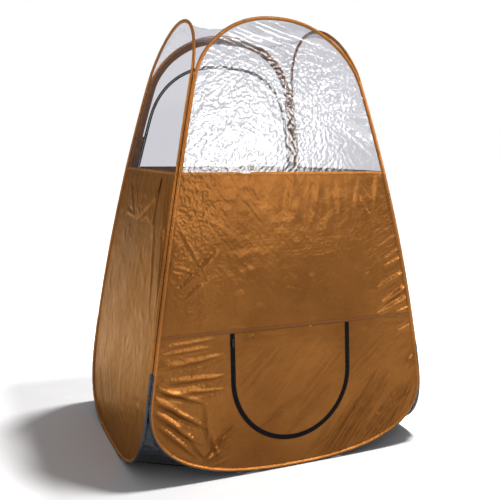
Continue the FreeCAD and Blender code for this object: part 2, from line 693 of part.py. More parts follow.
def roof_grid(depth):
    """A sheet drawn between the four arches, with a dip in its middle."""
    radius = size("sleeve_diameter") / 2
    corner_height = (size("front_shoulder") + size("side_shoulder")) / 2
    inset = size("hoop_edge_inset") + depth
    parts = [math.sin(math.pi / 2 * step / ROOF_STEPS) for step in range(-ROOF_STEPS, ROOF_STEPS + 1)]
    grid = []
    for across in parts:
        column = []
        for along in parts:
            like_front = (1 + along ** 2 - across ** 2) / 2
            apex, power = (like_front * size(f"front_{name}") + (1 - like_front) * size(f"side_{name}")
                           for name in ("apex", "arch_power"))
            from_middle = max(0.0, abs(across) + abs(along) - 1)
            arch = (1 - from_middle ** power) ** (1 / power)
            dip = size("roof_sag") * max(0.0, (1 - across ** 2) * (1 - along ** 2)) ** DIP_POWER
            height = corner_height - depth + (arch - dip) * (apex - radius - corner_height)
            column.append(Vector(across * (profiles["side"].reach(height) - inset),
                                 along * (profiles["front"].reach(height) - inset), height))
        grid.append(column)
    return grid


node(shaped("roof", thin_solid(roof_grid(0), roof_grid(size("cloth")))), "roof_film")

# Check every object, then write each piece to its own file
doc.recompute()
for piece in doc.Objects:
    if "Invalid" in piece.State or "Error" in piece.State:
        raise RuntimeError(f"{piece.Name} is {piece.State}")
os.makedirs("parts", exist_ok=True)
for piece in nodes:
    shape = piece.Shape
    if shape.isNull() or not shape.isValid() or not shape.Solids:
        raise RuntimeError(f"{piece.Label} has no valid solid")
    shape.exportStep(f"parts/{piece.Label}.step")
    print(f"{piece.Label}: {len(shape.Solids)} solid, {shape.Volume / 1000:.1f} cm3")
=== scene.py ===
import json
import math

import bpy
import numpy as np
from mathutils import Matrix, Vector

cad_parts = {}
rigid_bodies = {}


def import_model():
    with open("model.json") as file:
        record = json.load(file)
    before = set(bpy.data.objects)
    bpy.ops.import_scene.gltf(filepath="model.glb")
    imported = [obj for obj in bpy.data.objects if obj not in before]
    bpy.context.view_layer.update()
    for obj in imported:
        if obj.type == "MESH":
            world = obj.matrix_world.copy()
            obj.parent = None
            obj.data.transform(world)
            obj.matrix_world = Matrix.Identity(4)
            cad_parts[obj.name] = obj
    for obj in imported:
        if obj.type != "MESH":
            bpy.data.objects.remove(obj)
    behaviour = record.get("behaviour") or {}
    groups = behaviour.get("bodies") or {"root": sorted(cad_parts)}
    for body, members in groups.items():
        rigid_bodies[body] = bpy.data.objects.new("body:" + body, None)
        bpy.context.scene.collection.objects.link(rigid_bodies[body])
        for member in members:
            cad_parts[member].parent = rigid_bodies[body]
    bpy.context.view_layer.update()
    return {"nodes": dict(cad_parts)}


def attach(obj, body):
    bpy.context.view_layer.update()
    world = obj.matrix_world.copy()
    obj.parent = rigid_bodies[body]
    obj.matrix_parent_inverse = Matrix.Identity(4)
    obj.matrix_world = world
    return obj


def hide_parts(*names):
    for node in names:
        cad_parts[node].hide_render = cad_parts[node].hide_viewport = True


# A pop-up cabin of bronze coated nylon and clear vinyl on four sprung hoops, in metres, +Z up,
# with its front wall at -Y.

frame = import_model()

MM = 0.001
STEP = 4.5 * MM            # mesh step of a large sheet
FINE_STEP = 3.6 * MM       # mesh step of the front wall
STRIP_STEP = 6 * MM        # step along tapes and sleeves
SLOPE_STEP = 1e-4          # for slopes found by differences
CLOTH_LAYER = -2.2 * MM    # middle of the walls' cloth, out from the wall's reach
TAPE_LAYER = -0.6 * MM     # the same for the zips' tapes
CLOTH_INSET = 4.5 * MM     # from a hoop's middle to the edge of its wall's cloth
LEAST_SHARE = 0.31

SILL = 1.309               # foot of the windows
SEAM = 0.640               # between the front wall's panels
VENT_MIDDLE = -0.014
VENT_RADIUS = 0.284
VENT_BEND = 0.42           # where the vent's legs meet its round foot
VENT_HINGE = 0.630
DOOR_HINGE = 0.12
BAND_FOOT = 1.47           # foot of the cloth band in the back wall's arch
ZIP_HALF = 8.5 * MM        # from the middle of a zip to the cloth's edge
HINGE_GAP = 0.5 * MM       # from a hinge's line to the cloth's edge


# Walls seen edge-on: an arc that leans in from its foot to its top

class Profile:
    def __init__(self, foot_reach, lean_degrees, radius, rise=2.0):
        lean = math.radians(lean_degrees)
        half_chord = rise / math.cos(lean) / 2
        depth = math.sqrt(radius ** 2 - half_chord ** 2)
        self.radius = radius
        self.axis_reach = foot_reach - rise * math.tan(lean) / 2 - depth * math.cos(lean)
        self.axis_height = rise / 2 - depth * math.sin(lean)

    def reach(self, z):
        return self.axis_reach + np.sqrt(self.radius ** 2 - (z - self.axis_height) ** 2)


FRONT = Profile(0.5746, 7.779, 8.7715)
SIDE = Profile(0.7186, 10.531, 12.668)


def slopes(field, a, b):
    """The slopes of a field along its two directions."""
    e = SLOPE_STEP
    return (field(a + e, b) - field(a - e, b)) / (2 * e), (field(a, b + e) - field(a, b - e)) / (2 * e)


class Outline:
    """A rounded outline whose legs follow the cabin's corners."""

    def __init__(self, legs, inset, foot, corner_top, corner_power, shoulder, arch_power, apex):
        self.legs = legs
        self.inset = inset
        self.foot = foot
        self.corner_top = corner_top
        self.corner_power = corner_power
        self.shoulder = shoulder
        self.arch_power = arch_power
        self.apex = apex

    def shrunk(self, d):
        return Outline(self.legs, self.inset + d, self.foot + d, self.corner_top, self.corner_power,
                       self.shoulder, self.arch_power, self.apex - d)

    def half_width(self, z):
        z = np.asarray(z, float)
        low = np.clip((self.corner_top - z) / (self.corner_top - self.foot), 0, 1)
        high = np.clip((z - self.shoulder) / (self.apex - self.shoulder), 0, 1)
        taper = (1 - low ** self.corner_power) ** (1 / self.corner_power)
        taper = taper * (1 - high ** self.arch_power) ** (1 / self.arch_power)
        return taper * (self.legs.reach(z) - self.inset)

    def level(self, a, z):
        """Zero on the outline, below zero inside it."""
        across = np.abs(a) / (self.legs.reach(z) - self.inset)
        low = np.clip((self.corner_top - z) / (self.corner_top - self.foot), 0, None)
        high = np.clip((z - self.shoulder) / (self.apex - self.shoulder), 0, None)
        corner = (across ** self.corner_power + low ** self.corner_power) ** (1 / self.corner_power)
        arch = (across ** self.arch_power + high ** self.arch_power) ** (1 / self.arch_power)
        return np.where(low > 0, corner, arch) - 1

    def distance(self, a, z):
        """Signed distance, below zero inside."""
        da, dz = slopes(self.level, a, z)
        return self.level(a, z) / np.maximum(np.hypot(da, dz), 0.4)

    def line(self, count=360):
        """Points (across, height) round the outline, from the foot's middle."""
        half = count // 2
        foot = np.cos(np.linspace(0, math.pi / 2, half // 3, endpoint=False)) ** (2 / self.corner_power)
        legs = np.linspace(0, 1, half // 3, endpoint=False)
        arch = np.sin(np.linspace(0, math.pi / 2, half // 3 + 1)) ** (2 / self.arch_power)
        z = np.concatenate([self.corner_top - foot * (self.corner_top - self.foot),
                            self.corner_top + legs * (self.shoulder - self.corner_top),
                            self.shoulder + arch * (self.apex - self.shoulder)])
        a = self.half_width(z)
        points = np.column_stack([a, z])
        return np.vstack([points, (points * [-1, 1])[-2:0:-1]])


FRONT_HOOP = Outline(SIDE, 0.0132, 0.0067, 0.381, 2.47, 1.694, 2.25, 1.9933)
SIDE_HOOP = Outline(FRONT, 0.0132, 0.0067, 0.465, 3.15, 1.728, 2.07, 1.9993)
DOOR_ZIP = Outline(SIDE, 0.065, 0.020, 0.400, 2.47, 1.550, 2.6, 1.841)

WALLS = {   # profile, hoop, outward direction, direction across
    "front": (FRONT, FRONT_HOOP, (0, -1), (1, 0)),
    "back": (FRONT, FRONT_HOOP, (0, 1), (1, 0)),
    "left": (SIDE, SIDE_HOOP, (-1, 0), (0, 1)),
    "right": (SIDE, SIDE_HOOP, (1, 0), (0, 1)),
}


def on_wall(wall, a, z, layer):
    """Points at a distance across a wall and a height, a layer out from the wall's reach."""
    profile, _, out, across = WALLS[wall]
    reach = profile.reach(z) + layer
    return np.stack([across[0] * a + out[0] * reach, across[1] * a + out[1] * reach, z + 0 * a], axis=-1)


# Noise

def noise(x, y, seed):
    """Smooth noise from about -1 to 1, with cells one unit wide."""
    turn = np.random.default_rng(seed).random((64, 64)) * 2 * math.pi
    xi, yi = np.floor(x).astype(int), np.floor(y).astype(int)
    xf, yf = x - xi, y - yi
    total = 0
    for i in (0, 1):
        for j in (0, 1):
            angle = turn[(xi + i) % 64, (yi + j) % 64]
            dot = np.cos(angle) * (xf - i) + np.sin(angle) * (yf - j)
            wx = xf if i else 1 - xf
            wy = yf if j else 1 - yf
            total = total + dot * wx ** 3 * (wx * (6 * wx - 15) + 10) * wy ** 3 * (wy * (6 * wy - 15) + 10)
    return total * 1.45


def creased(x, y, seed):
    """Sharp crests between soft hollows, from about -1 to 1."""
    return 1 - 2.6 * np.abs(noise(x, y, seed))


def crumpled(a, z, cell, seed):
    """The crumpled surface of a thin sheet, at three sizes."""
    bend_a = a + 0.4 * cell * noise(a / cell * 0.7, z / cell * 0.7, seed + 7)
    bend_z = z + 0.4 * cell * noise(a / cell * 0.7, z / cell * 0.7, seed + 8)
    total = 0
    for octave, share in ((1, 1.0), (2, 0.5), (4.1, 0.22)):
        total = total + share * creased(bend_a / cell * octave, bend_z / cell * octave, seed + int(octave))
    return total / 1.7


def streaks(a, z, degrees, length, width, seed):
    """Long parallel creases at an angle above the level."""
    c, s = math.cos(math.radians(degrees)), math.sin(math.radians(degrees))
    along, across = a * c + z * s, z * c - a * s
    wander = 0.35 * noise(along / length * 2, across / width, seed + 1)
    return creased(along / length, across / width + wander, seed)


def smooth(x, low, high):
    """0 below low, 1 above high, and a soft rise between them."""
    t = np.clip((x - low) / (high - low), 0, 1)
    return t * t * (3 - 2 * t)


def spot(a, z, middle_a, middle_z, radius_a, radius_z):
    """1 at a middle, fading with distance from it."""
    return np.exp(-((a - middle_a) / radius_a) ** 2 - ((z - middle_z) / radius_z) ** 2)


def fold(a, z, start, end, width, height):
    """A tension fold with a crest and a softer hollow beside it, fading at both ends."""
    (a0, z0), (a1, z1) = start, end
    length = math.hypot(a1 - a0, z1 - z0)
    ca, cz = (a1 - a0) / length, (z1 - z0) / length
    along = (a - a0) * ca + (z - z0) * cz
    across = (z - z0) * ca - (a - a0) * cz
    across = across + 0.25 * width * noise(along / 0.07, across / 0.2, int(1000 * abs(a0) + 100 * z0))
    t = np.clip(along / length, 0, 1)
    beyond = along - np.clip(along, 0, length)
    fade = np.sin(math.pi * np.clip(0.12 + 0.88 * t, 0, 1)) ** 0.7 * np.exp(-(beyond / 0.02) ** 2)
    w = width * (1.25 - 0.6 * t)
    crest = np.exp(-np.abs(across / w) ** 1.6)
    hollow = 0.55 * np.exp(-((across + 1.7 * w) / w) ** 2)
    return 2.0 * height * fade * (crest - hollow)


# Folds seen in the photo: start, end (across, height), width and height
FRONT_FOLDS = (
    # from the left leg, down towards the lower corner
    ((-0.675, 0.45), (-0.43, 0.345), 0.013, 0.0055),
    ((-0.665, 0.40), (-0.42, 0.235), 0.014, 0.0065),
    ((-0.655, 0.345), (-0.45, 0.165), 0.013, 0.0060),
    ((-0.635, 0.28), (-0.47, 0.115), 0.011, 0.0045),
    ((-0.60, 0.455), (-0.31, 0.452), 0.012, 0.0042),
    ((-0.58, 0.405), (-0.32, 0.395), 0.010, 0.0034),
    ((-0.62, 0.515), (-0.32, 0.545), 0.012, 0.0036),
    ((-0.62, 0.600), (-0.34, 0.617), 0.009, 0.0028),
    ((-0.63, 0.570), (-0.38, 0.580), 0.007, 0.0022),
    # the gathered star at the lower left corner
    ((-0.425, 0.33), (-0.415, 0.14), 0.009, 0.0048),
    ((-0.405, 0.21), (-0.375, 0.10), 0.008, 0.0046),
    ((-0.31, 0.215), (-0.425, 0.085), 0.009, 0.0050),
    ((-0.33, 0.150), (-0.45, 0.075), 0.008, 0.0040),
    ((-0.50, 0.20), (-0.43, 0.10), 0.009, 0.0038),
    ((-0.34, 0.08), (-0.43, 0.055), 0.006, 0.0030),
    # from the foot, up towards the right leg
    ((0.04, 0.03), (0.22, 0.22), 0.009, 0.0032),
    ((0.11, 0.03), (0.34, 0.30), 0.010, 0.0042),
    ((0.17, 0.03), (0.44, 0.39), 0.012, 0.0052),
    ((0.24, 0.04), (0.50, 0.37), 0.012, 0.0050),
    ((0.33, 0.05), (0.60, 0.33), 0.012, 0.0050),
    ((0.42, 0.07), (0.63, 0.30), 0.009, 0.0042),
    ((0.50, 0.10), (0.655, 0.36), 0.008, 0.0036),
    ((0.60, 0.40), (0.67, 0.47), 0.009, 0.0040),
    # from the right leg, down across the upper panel
    ((0.655, 0.870), (0.44, 0.775), 0.011, 0.0044),
    ((0.665, 0.800), (0.46, 0.700), 0.012, 0.0052),
    ((0.670, 0.745), (0.43, 0.650), 0.011, 0.0052),
    ((0.675, 0.690), (0.54, 0.652), 0.008, 0.0040),
    ((0.640, 0.930), (0.47, 0.870), 0.009, 0.0032),
    ((0.630, 0.985), (0.48, 0.905), 0.008, 0.0026),
    ((0.615, 1.045), (0.45, 0.965), 0.007, 0.0022),
    ((0.675, 0.600), (0.54, 0.560), 0.009, 0.0030),
    # across the vent
    ((-0.20, 0.20), (0.05, 0.33), 0.010, 0.0016),
    ((-0.05, 0.16), (0.20, 0.36), 0.010, 0.0018),
    ((0.02, 0.30), (0.22, 0.50), 0.009, 0.0016),
    ((-0.26, 0.40), (-0.08, 0.56), 0.010, 0.0014),
    # the left half of the upper panel
    ((-0.36, 0.965), (-0.53, 0.830), 0.012, 0.0044),
    ((-0.42, 0.845), (-0.51, 0.790), 0.009, 0.0030),
    ((-0.55, 0.930), (-0.42, 0.885), 0.006, 0.0020),
    ((-0.50, 1.060), (-0.40, 0.860), 0.007, 0.0022),
    # soft folds that hang from the window's foot
    ((0.165, 1.30), (0.105, 1.08), 0.017, 0.0011),
    ((0.262, 1.30), (0.250, 1.10), 0.018, 0.0012),
    ((0.37, 1.30), (0.34, 1.14), 0.019, 0.0009),
    ((0.47, 1.30), (0.445, 1.15), 0.015, 0.0011),
    ((0.03, 1.30), (-0.02, 1.10), 0.020, 0.0009),
)
LEFT_FOLDS = (
    ((-0.31, 1.27), (-0.44, 0.98), 0.010, 0.0026),
    ((-0.36, 1.26), (-0.465, 0.82), 0.009, 0.0026),
    ((-0.385, 1.20), (-0.475, 0.74), 0.008, 0.0022),
    ((-0.27, 1.03), (-0.38, 0.70), 0.014, 0.0016),
)


def vent_distance(a, z):
    """Signed distance to the middle of the vent's zip, below zero inside."""
    beside = a - VENT_MIDDLE
    return np.where(z > VENT_BEND, np.abs(beside), np.hypot(beside, z - VENT_BEND)) - VENT_RADIUS


def near_level(z, level):
    """1 at a level, 0 a few centimetres from it."""
    return np.exp(-((z - level) / 0.018) ** 2)


def cloth_relief(wall, a, z):
    """How far a wall's cloth stands out from its smooth bow."""
    seed = {"front": 11, "back": 211, "left": 411, "right": 611}[wall]
    inside = np.maximum(-WALLS[wall][1].distance(a, z), 0)
    rim = 1 - np.exp(-inside / 0.014)
    swell = 0.0035 * noise(a / 0.42, z / 0.36, seed) + 0.0016 * noise(a / 0.17, z / 0.24, seed + 1)
    if wall == "front":
        folds = sum(fold(a, z, *entry) for entry in FRONT_FOLDS)
        hanging = 0.0012 * noise(a / 0.055, z / 0.5, seed + 2) * smooth(z, 0.95, 1.28)
        rough = (0.0019 * spot(a, z, -0.47, 1.20, 0.13, 0.24) + 0.0011 * spot(a, z, -0.47, 0.90, 0.13, 0.22)
                 + 0.0012 * spot(a, z, -0.45, 0.28, 0.20, 0.30) + 0.0008 * spot(a, z, 0.57, 0.85, 0.12, 0.30)
                 + 0.0004 * spot(a, z, 0.2, 1.0, 0.3, 0.16) + 0.0006 * spot(a, z, 0.45, 0.22, 0.22, 0.18)
                 + 0.0002)
        crumple = rough * crumpled(a, z, 0.020, seed + 3)
        fine = 0.0010 * streaks(a, z, 24, 0.10, 0.015, seed + 4) * spot(a, z, 0.55, 0.95, 0.14, 0.30)
        fine = fine + 0.0005 * streaks(a, z, -52, 0.20, 0.030, seed + 8) * smooth(z, 0.66, 0.80)
        fine = fine + 0.0006 * streaks(a, z, 40, 0.16, 0.024, seed + 9) * smooth(-z, -0.62, -0.50)
        crumple = crumple + 0.0007 * crumpled(a, z, 0.085, seed + 6)
        level = 0.00045 * streaks(a, z, 3, 0.16, 0.014, seed + 5) * spot(a, z, 0.15, 0.99, 0.35, 0.06)
        # the vent's zip and hinge hold the cloth near them flat
        held = 1 - 0.75 * np.exp(-(vent_distance(a, z) / 0.035) ** 2) * (z < 0.66)
        held = held * (1 - near_level(z, VENT_HINGE) * smooth(-np.abs(a - VENT_MIDDLE), -0.34, -0.29))
        return rim * held * (swell + hanging + crumple + fine + level + folds * smooth(inside, 0, 0.02))
    if wall == "left":
        folds = sum(fold(a, z, *entry) for entry in LEFT_FOLDS)
        pull = (a + 0.42) / (0.55 + 1.1 * z)
        pleats = 0.0026 * creased(pull / 0.11, z / 0.9, seed + 2) * smooth(-z, -0.50, -0.10)
        hanging = 0.0012 * noise(a / 0.05, z / 0.6, seed + 4) * smooth(z, 0.9, 1.25)
        return rim * (swell + folds + pleats * smooth(inside, 0, 0.05) + hanging
                      + 0.0005 * crumpled(a, z, 0.05, seed + 3))
    # the back and right walls: pleats at the foot, folds from the legs, folds hanging from the sill
    near_leg = np.exp(-inside / 0.11) * smooth(z, 0.15, 0.45)
    legs = 0.0030 * creased(z / 0.075 - np.abs(a) / 0.35, a / 0.6, seed + 2) * near_leg
    pleats = 0.0030 * creased(a / (0.09 + 0.05 * z), z / 0.8, seed + 4) * smooth(-z, -0.50, -0.08)
    hanging = 0.0014 * noise(a / 0.055, z / 0.5, seed + 5) * smooth(z, 0.95, 1.28)
    if wall == "back":
        edge = DOOR_ZIP.distance(a, z)
        held = 1 - 0.8 * np.exp(-(edge / 0.035) ** 2)
        held = held * (1 - near_level(z, DOOR_HINGE) * smooth(-np.abs(a), -0.70, -0.64))
    else:
        held = 1
    return rim * held * (swell + hanging + legs + pleats * smooth(inside, 0, 0.05)
                         + 0.00035 * crumpled(a, z, 0.045, seed + 3))


def film_relief(wall, a, z):
    """The crinkled vinyl of a wall's window."""
    seed = {"front": 1011, "back": 1211, "left": 1411, "right": 1611}[wall]
    inside = np.maximum(-WALLS[wall][1].distance(a, z), 0)
    rim = 1 - np.exp(-inside / 0.012)
    sill = 1 - np.exp(-np.abs(z - SILL) / 0.012)
    swell = 0.0020 * noise(a / 0.30, z / 0.26, seed)
    if wall == "front":
        crinkle = 0.00150 * crumpled(a, z * 1.2, 0.028, seed + 3)
        crinkle = crinkle + 0.0008 * streaks(a, z, 42, 0.10, 0.020, seed + 4)
        crinkle = crinkle * (0.45 + 0.55 * smooth(-a, -0.42, -0.20)
                             + 0.55 * spot(a, z, 0.22, 1.68, 0.18, 0.14))
        crinkle = crinkle * (1 - 0.85 * spot(a, z, 0.40, 1.40, 0.18, 0.13))
        top = 0.0010 * streaks(a, z, -17, 0.24, 0.020, seed + 5) * smooth(z, 1.72, 1.86)
        # creases that fan out from one point to the right leg
        turn = np.arctan2(z - 1.585, a - 0.19)
        far = np.hypot(a - 0.19, z - 1.585)
        fan = 0.0038 * creased(turn / 0.17, far / 0.5, seed + 6) * smooth(far, 0.03, 0.12)
        fan = fan * smooth(-np.abs(turn), -0.75, -0.45)
        return rim * sill * (swell + crinkle * (1 - 0.7 * smooth(z, 1.76, 1.88)) + top + fan)
    share = 0.5 if wall == "left" else 0.8
    streak = 0.0010 * streaks(a, z, 68, 0.30, 0.028, seed + 5)
    return rim * sill * (swell + share * (0.0003 * crumpled(a, z, 0.04, seed + 3) + 0.6 * streak))


# Meshes

def mesh_piece(name, verts, faces, material, body, nodes,
               smooth_shading=True):
    """A mesh that rides on a body and stands for CAD nodes, which it hides."""
    mesh = bpy.data.meshes.new(name)
    verts = np.asarray(verts, np.float64).reshape(-1, 3)
    faces = np.asarray(faces, np.int32).reshape(-1, 4)
    mesh.vertices.add(len(verts))
    mesh.vertices.foreach_set("co", verts.astype(np.float32).ravel())
    mesh.loops.add(faces.size)
    mesh.loops.foreach_set("vertex_index", faces.ravel())
    mesh.polygons.add(len(faces))
    mesh.polygons.foreach_set("loop_start", np.arange(0, faces.size, 4, dtype=np.int32))
    mesh.update(calc_edges=True)
    mesh.validate()
    if smooth_shading:
        mesh.shade_smooth()
    mesh.materials.append(material)
    piece = bpy.data.objects.new(name, mesh)
    bpy.context.collection.objects.link(piece)
    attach(piece, body)
    if nodes:
        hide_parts(*nodes)


def faces_area(verts, faces):
    """The area of all quads together."""
    p = verts[faces]
    first = np.linalg.norm(np.cross(p[:, 1] - p[:, 0], p[:, 2] - p[:, 0]), axis=1)
    second = np.linalg.norm(np.cross(p[:, 2] - p[:, 0], p[:, 3] - p[:, 0]), axis=1)
    return float((first + second).sum() / 2)


def grid_faces(rows, columns):
    """The quads of a grid of points, row after row."""
    index = np.arange(rows * columns).reshape(rows, columns)
    return np.stack([index[:-1, :-1], index[1:, :-1], index[1:, 1:], index[:-1, 1:]], -1)


def cut_out(a, b, region, step):
    """The part of a grid inside a region given as a signed distance, its rim drawn onto the region's edge."""
    d = region(a, b)
    for _ in range(3):
        da, db = slopes(region, a, b)
        size = np.maximum(da ** 2 + db ** 2, 0.2)
        near = np.abs(d) < 0.8 * step
        move = np.where(near & (d > 0), d, 0)
        a, b = a - move * da / size, b - move * db / size
        d = np.where(near, region(a, b), d)
    keep = d < 0.15 * step
    whole = keep[:-1, :-1] & keep[1:, :-1] & keep[1:, 1:] & keep[:-1, 1:]
    quads = grid_faces(*a.shape)[whole]
    used = np.unique(quads)
    renumber = np.zeros(a.size, int)
    renumber[used] = np.arange(len(used))
    return a.ravel()[used], b.ravel()[used], renumber[quads]


def region_sheet(name, wall, region, span, relief, material, body, nodes, step=STEP):
    """A sheet of a wall, cut to a region."""
    a0, a1, z0, z1 = span
    columns, rows = int((a1 - a0) / step) + 2, int((z1 - z0) / step) + 2
    a, z = np.meshgrid(a0 + step * np.arange(columns), z0 + step * np.arange(rows), indexing="ij")
    a, z, faces = cut_out(a, z, region, step)
    _, _, out, across = WALLS[wall]
    if (out[0] + out[1] < 0) == (across[0] == 0):
        faces = faces[:, ::-1]
    verts = on_wall(wall, a, z, CLOTH_LAYER + relief(a, z))
    area = faces_area(np.column_stack([a, z, 0 * a]), faces)
    box = (a.max() - a.min(), z.max() - z.min())
    # a ring or a bent strip gets the box of a straight one of the same area, though nothing reads the box
    if area < LEAST_SHARE * box[0] * box[1]:
        box = (area / (box[0] + box[1]), box[0] + box[1])
    mesh_piece(name, verts, faces, material, body, nodes)


def unit(vectors):
    return vectors / np.linalg.norm(vectors, axis=1)[:, None]


def along_and_right(line):
    """At each point of a line on a wall, the directions along it and to its right."""
    tangent = unit(np.gradient(line, axis=0))
    return tangent, np.column_stack([tangent[:, 1], -tangent[:, 0]])


def strip_sheet(name, wall, line, spreads, layer, material, body, nodes, columns=5, puff=0.0):
    """A strip along a line of points (across, height) on a wall, between two distances to its right."""
    _, side = along_and_right(line)
    t = np.linspace(0, 1, columns)
    spread = spreads[0] + (spreads[1] - spreads[0]) * t
    a = line[:, :1] + side[:, :1] * spread
    z = line[:, 1:] + side[:, 1:] * spread
    bulge = puff * 4 * t * (1 - t)
    verts = on_wall(wall, a, z, layer + bulge + cloth_relief(wall, a, z))
    mesh_piece(name, verts, grid_faces(*a.shape), material, body, nodes)


def level_line(half, z, count=260):
    return np.column_stack([np.linspace(-half, half, count), np.full(count, z)])


def resampled(line, step):
    """The same line with even steps."""
    run = np.concatenate([[0], np.cumsum(np.linalg.norm(np.diff(line, axis=0), axis=1))])
    at = np.linspace(0, run[-1], max(int(run[-1] / step), 2))
    return np.column_stack([np.interp(at, run, line[:, 0]), np.interp(at, run, line[:, 1])])


# Materials

def material(name):
    made = bpy.data.materials.new(name)
    made.use_nodes = True
    tree = made.node_tree
    tree.nodes.clear()
    return made, tree, tree.nodes.new("ShaderNodeOutputMaterial")


def add(tree, kind, **values):
    made = tree.nodes.new("ShaderNode" + kind)
    for key, value in values.items():
        if key in made.inputs.keys():
            made.inputs[key].default_value = value
        else:
            setattr(made, key.lower(), value)
    return made


def link(tree, source, output, target, socket):
    tree.links.new(source.outputs[output], target.inputs[socket])


def noise_node(tree, scale, detail=4.0, rough=0.55):
    coords = add(tree, "TexCoord")
    made = add(tree, "TexNoise", Scale=scale, Detail=detail, Roughness=rough)
    link(tree, coords, "Object", made, "Vector")
    return made


def ramp(tree, texture, low, high, shader, socket):
    """A texture's two ends, each (position, colour), led to a shader's socket."""
    made = add(tree, "ValToRGB")
    elements = made.color_ramp.elements
    elements[0].position, elements[0].color = low
    elements[1].position, elements[1].color = high
    link(tree, texture, "Fac", made, "Fac")
    link(tree, made, "Color", shader, socket)


def bump_chain(tree, *layers):
    """Bump nodes one over the other; each layer is (texture, strength, distance)."""
    last = None
    for texture, strength, distance in layers:
        made = add(tree, "Bump", Strength=strength, Distance=distance)
        link(tree, texture, "Fac", made, "Height")
        if last:
            link(tree, last, "Normal", made, "Normal")
        last = made
    return last


def grey(value):
    return (value, value, value, 1)


def fabric(name, dark, light, rough, metal, crinkle, grain, shine, sheen, creases):
    """Coated nylon: two close tones, a satin face, sharp creases, small crinkles and a fine weave."""
    made, tree, out = material(name)
    shader = add(tree, "BsdfPrincipled", Metallic=metal)
    shader.inputs["Specular IOR Level"].default_value = shine
    shader.inputs["Specular Tint"].default_value = (*sheen, 1)
    tone = noise_node(tree, 3.2, 5, 0.6)
    ramp(tree, tone, (0.32, (*dark, 1)), (0.68, (*light, 1)), shader, "Base Color")
    gloss = noise_node(tree, 9, 4)
    ramp(tree, gloss, (0.3, grey(rough - 0.05)), (0.7, grey(rough + 0.06)), shader, "Roughness")
    wave = noise_node(tree, 75, 5, 0.62)
    weave = noise_node(tree, 900, 1, 0.5)
    sharp = noise_node(tree, 14, 4, 0.5)
    sharp.noise_type = "RIDGED_MULTIFRACTAL"
    normal = bump_chain(tree, (sharp, creases, 0.010), (wave, crinkle, 0.004), (weave, grain, 0.0004))
    link(tree, normal, "Normal", shader, "Normal")
    link(tree, shader, "BSDF", out, "Surface")
    return made


def film(name, tint, reflection, crinkle):
    """Clear vinyl: mostly see-through, with a little haze and a crinkled shine."""
    made, tree, out = material(name)
    clear = add(tree, "BsdfTransparent", Color=(*tint, 1))
    shine = add(tree, "BsdfGlossy", Color=(1, 1, 1, 1), Roughness=0.10)
    haze = add(tree, "BsdfTranslucent", Color=(0.86, 0.86, 0.92, 1))
    wave = noise_node(tree, 55, 4, 0.6)
    fine = noise_node(tree, 160, 3, 0.6)
    normal = bump_chain(tree, (wave, crinkle, 0.004), (fine, crinkle * 0.6, 0.0015))
    link(tree, normal, "Normal", shine, "Normal")
    hazed = add(tree, "MixShader", Fac=0.02)
    link(tree, clear, "BSDF", hazed, 1)
    link(tree, haze, "BSDF", hazed, 2)
    whole = add(tree, "MixShader", Fac=reflection)
    link(tree, hazed, "Shader", whole, 1)
    link(tree, shine, "BSDF", whole, 2)
    link(tree, whole, "Shader", out, "Surface")
    return made


def plain(name, color, rough, metal=0.0, scale=300.0, bump=0.1, spread=0.06, shine=0.5):
    """A small hard or woven part with a slightly uneven face."""
    made, tree, out = material(name)
    shader = add(tree, "BsdfPrincipled", Metallic=metal)
    shader.inputs["Specular IOR Level"].default_value = shine
    texture = noise_node(tree, scale, 4)
    darker = tuple(c * 0.8 for c in color)
    ramp(tree, texture, (0.3, (*darker, 1)), (0.7, (*color, 1)), shader, "Base Color")
    ramp(tree, texture, (0.3, grey(rough - spread)), (0.7, grey(rough + spread)), shader, "Roughness")
    normal = bump_chain(tree, (texture, bump, 0.001))
    link(tree, normal, "Normal", shader, "Normal")
    link(tree, shader, "BSDF", out, "Surface")
    return made


BRONZE = fabric(
    "bronze_nylon", dark=(0.118, 0.0445, 0.0105), light=(0.168, 0.066, 0.0160), rough=0.31, metal=0.55,
    crinkle=0.30, grain=0.15, shine=0.03, sheen=(1, 0.68, 0.38), creases=0.45)
BRONZE_BINDING = fabric(
    "bronze_binding", dark=(0.17, 0.064, 0.014), light=(0.26, 0.100, 0.024), rough=0.28, metal=0.50,
    crinkle=0.7, grain=0.2, shine=0.1, sheen=(1, 0.66, 0.36), creases=0.3)
# darker bronze: the seam band's own darker tone, and painted shade on the back wall's arch band
BRONZE_SEAM_AND_SHADE = fabric(
    "bronze_seam_and_painted_shade", dark=(0.085, 0.030, 0.008), light=(0.110, 0.040, 0.011), rough=0.48, metal=0.15,
    crinkle=0.2, grain=0.3, shine=0.15, sheen=(1, 0.72, 0.46), creases=0.0)
BLACK = fabric(
    "black_coated", dark=(0.004, 0.0045, 0.006), light=(0.010, 0.011, 0.014), rough=0.22, metal=0.0,
    crinkle=1.0, grain=0.3, shine=0.6, sheen=(0.85, 0.92, 1.0), creases=0.8)
FRONT_FILM = film("clear_vinyl_front", (0.770, 0.768, 0.795), 0.10, 0.36)
SIDE_FILM = film("clear_vinyl_side", (0.810, 0.808, 0.836), 0.045, 0.05)
ROOF_FILM = film("clear_vinyl_roof", (0.80, 0.80, 0.83), 0.10, 0.30)
TAPE = plain("zip_tape", (0.0016, 0.0018, 0.0024), 0.34, scale=60.0, bump=0.10, spread=0.08, shine=0.06)
COIL = plain("zip_coil", (0.0016, 0.0018, 0.0024), 0.38, bump=0.1, shine=0.08)
METAL = plain("zip_metal", (0.012, 0.012, 0.013), 0.42, metal=0.3, scale=900, shine=0.3)
STEEL = plain("spring_steel", (0.45, 0.45, 0.46), 0.3, metal=1.0, scale=700)
CRIMP = plain("crimped_tube", (0.62, 0.62, 0.64), 0.35, metal=1.0, scale=700)
HOOK_LOOP = plain("hook_and_loop", (0.012, 0.012, 0.014), 0.8, scale=1500, bump=0.9)


# Walls

def above(z, height):
    """Signed distance to the space above a height."""
    return height - z


def below(z, height):
    """Signed distance to the space below a height."""
    return z - height


